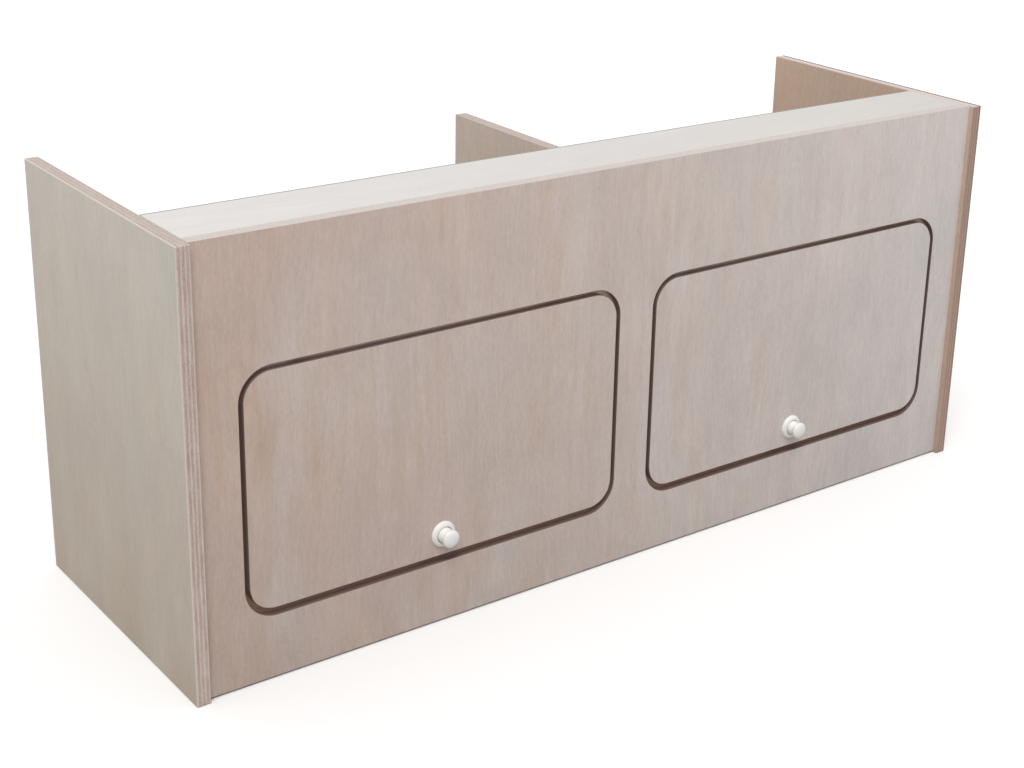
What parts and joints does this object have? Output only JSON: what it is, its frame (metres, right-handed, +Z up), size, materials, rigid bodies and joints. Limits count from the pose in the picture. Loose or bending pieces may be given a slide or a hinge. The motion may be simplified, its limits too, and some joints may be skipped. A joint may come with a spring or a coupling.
{
  "type": "wall cabinet",
  "caption": "Plywood wall cabinet with flush lift-up doors, push-button locks and an open back, hung on a wall by rails inside its compartments.",
  "frame": {"origin": "bottom centre of the cabinet's box, knobs included, on the plane that the side panels stand on", "axes": "+Z up, doors face -Y, +X to the right seen from the front"},
  "size_m": [1.07, 0.363, 0.465],
  "materials": {
    "plywood": "whitewashed, matt",
    "beech": "raw",
    "white_plastic": "satin",
    "grey_plastic": "moulded",
    "nickel_steel": "nickel plated",
    "zinc_screw": "zinc plated",
    "dark_steel": "black lacquer, matt"
  },
  "bodies": {
    "carcass": {"left_side_panel": "plywood", "right_side_panel": "plywood", "centre_divider": "plywood", "front_panel": "plywood", "top_rail": "plywood", "floor_panel": "plywood", "left_hanging_rail": "plywood", "right_hanging_rail": "plywood", "front_panel_dowels": "beech", "top_rail_dowels": "beech", "floor_dowels": "beech", "hanging_rail_dowels": "beech", "left_inner_hinge_arm": "nickel_steel", "left_outer_hinge_arm": "nickel_steel", "left_hinge_arm_screws": "zinc_screw", "left_strike_screws": "zinc_screw", "left_strike_plate": "dark_steel", "left_stop_laths": "beech", "right_inner_hinge_arm": "nickel_steel", "right_outer_hinge_arm": "nickel_steel", "right_hinge_arm_screws": "zinc_screw", "right_strike_screws": "zinc_screw", "right_strike_plate": "dark_steel", "right_stop_laths": "beech"},
    "left_door": {"left_door_panel": "plywood", "left_hinge_cup_screws": "zinc_screw", "left_lock_rosette": "white_plastic", "left_lock_case": "grey_plastic", "left_lock_case_screws": "zinc_screw", "left_inner_hinge_cup": "nickel_steel", "left_inner_hinge_pin": "nickel_steel", "left_outer_hinge_cup": "nickel_steel", "left_outer_hinge_pin": "nickel_steel"},
    "left_knob": {"left_lock_knob": "white_plastic", "left_lock_cross_pin": "zinc_screw"},
    "left_bolt": {"left_lock_bolt": "nickel_steel"},
    "right_door": {"right_door_panel": "plywood", "right_hinge_cup_screws": "zinc_screw", "right_lock_rosette": "white_plastic", "right_lock_case": "grey_plastic", "right_lock_case_screws": "zinc_screw", "right_inner_hinge_cup": "nickel_steel", "right_inner_hinge_pin": "nickel_steel", "right_outer_hinge_cup": "nickel_steel", "right_outer_hinge_pin": "nickel_steel"},
    "right_knob": {"right_lock_knob": "white_plastic", "right_lock_cross_pin": "zinc_screw"},
    "right_bolt": {"right_lock_bolt": "nickel_steel"}
  },
  "joints": [
    {"name": "left_door_lift", "type": "hinge", "parent": "carcass", "child": "left_door", "pos_m": [-0.25, -0.154, 0.3055], "axis": [-1, 0, 0], "range_deg": [0, 90]},
    {"name": "left_knob_push", "type": "slide", "parent": "left_door", "child": "left_knob", "axis": [0, 1, 0], "range_m": [0, 0.0075], "stiffness_N_per_m": 300},
    {"name": "left_bolt_drop", "type": "slide", "parent": "left_door", "child": "left_bolt", "axis": [0, 0, -1], "range_m": [0, 0.0075]},
    {"name": "right_door_lift", "type": "hinge", "parent": "carcass", "child": "right_door", "pos_m": [0.25, -0.154, 0.3055], "axis": [-1, 0, 0], "range_deg": [0, 90]},
    {"name": "right_knob_push", "type": "slide", "parent": "right_door", "child": "right_knob", "axis": [0, 1, 0], "range_m": [0, 0.0075], "stiffness_N_per_m": 300},
    {"name": "right_bolt_drop", "type": "slide", "parent": "right_door", "child": "right_bolt", "axis": [0, 0, -1], "range_m": [0, 0.0075]}
  ],
  "couplings": [
    {"joint": "left_bolt_drop", "follows": "left_knob_push", "ratio": 1},
    {"joint": "right_bolt_drop", "follows": "right_knob_push", "ratio": 1}
  ]
}
